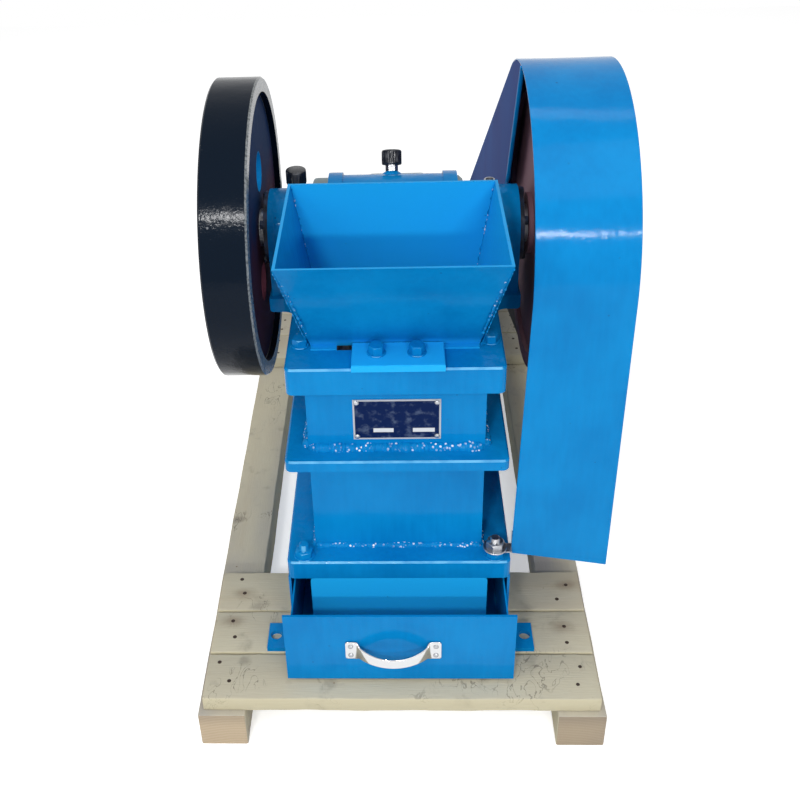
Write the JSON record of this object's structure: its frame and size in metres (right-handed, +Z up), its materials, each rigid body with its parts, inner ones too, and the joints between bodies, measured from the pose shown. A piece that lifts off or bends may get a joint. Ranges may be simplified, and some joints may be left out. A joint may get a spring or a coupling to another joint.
{
  "type": "laboratory jaw crusher",
  "caption": "Blue laboratory jaw crusher on a wooden pallet: flared hopper, black flywheel, guarded belt drive and a drawer for the crushed sample.",
  "frame": {"origin": "on the ground, under the middle of the pallet", "axes": "+Z up, -Y is the front with the hopper's mouth and the drawer, +X is the belt guard's side"},
  "size_m": [0.493, 1.096, 0.7495],
  "materials": {
    "blue_enamel": "glossy blue enamel, brushed on",
    "black_enamel": "glossy black enamel over rough casting",
    "pallet_wood": "rough sawn, weathered",
    "black_plastic": "moulded",
    "belt_rubber": "matt",
    "bare_iron": "as cast",
    "bare_steel": "turned",
    "nickel": "nickel plate",
    "nameplate": "dark blue print on aluminium, without lettering",
    "motor_paint": "grey green machine paint",
    "primed_iron": "red brown primer, partly painted blue"
  },
  "bodies": {
    "frame": {"pallet_stringer_left": "pallet_wood", "pallet_stringer_right": "pallet_wood", "pallet_front_deck": "pallet_wood", "pallet_rear_deck": "pallet_wood", "base_rail_left": "blue_enamel", "base_rail_right": "blue_enamel", "base_apron": "blue_enamel", "motor_plate": "blue_enamel", "base_flange": "blue_enamel", "mid_flange": "blue_enamel", "top_flange": "blue_enamel", "front_wall": "blue_enamel", "rear_wall": "blue_enamel", "side_wall_left": "blue_enamel", "side_wall_right": "blue_enamel", "fixed_jaw_plate": "bare_iron", "toggle_plate": "bare_iron", "toggle_block": "blue_enamel", "bearing_block_left": "blue_enamel", "bearing_block_right": "blue_enamel", "bearing_cover_left": "blue_enamel", "bearing_cover_right": "blue_enamel", "drive_belt_1": "belt_rubber", "drive_belt_2": "belt_rubber", "motor": "motor_paint", "motor_pulley": "primed_iron", "guard_band": "blue_enamel", "guard_outer_plate": "blue_enamel", "guard_inner_plate": "blue_enamel", "guard_clip": "bare_steel", "guard_stay": "blue_enamel", "hopper": "blue_enamel", "hopper_clamp": "blue_enamel", "oil_cup_left": "black_plastic", "oil_cup_right": "bare_steel", "nameplate": "nameplate"},
    "rotor": {"eccentric_shaft": "bare_steel", "flywheel": "black_enamel", "drive_pulley": "primed_iron"},
    "jaw": {"swing_jaw": "blue_enamel", "swing_jaw_plate": "bare_iron", "oil_cup_centre": "black_plastic"},
    "drawer": {"drawer_tray": "blue_enamel", "drawer_front": "blue_enamel", "drawer_handle": "nickel"}
  },
  "joints": [
    {"name": "rotor_spin", "type": "hinge", "parent": "frame", "child": "rotor", "pos_m": [0, -0.255, 0.5615], "axis": [1, 0, 0], "continuous": true},
    {"name": "jaw_swing", "type": "hinge", "parent": "frame", "child": "jaw", "pos_m": [0, -0.255, 0.5615], "axis": [-1, 0, 0], "range_deg": [0, 1.5]},
    {"name": "drawer_slide", "type": "slide", "parent": "frame", "child": "drawer", "axis": [0, -1, 0], "range_m": [-0.049, 0.2]}
  ]
}
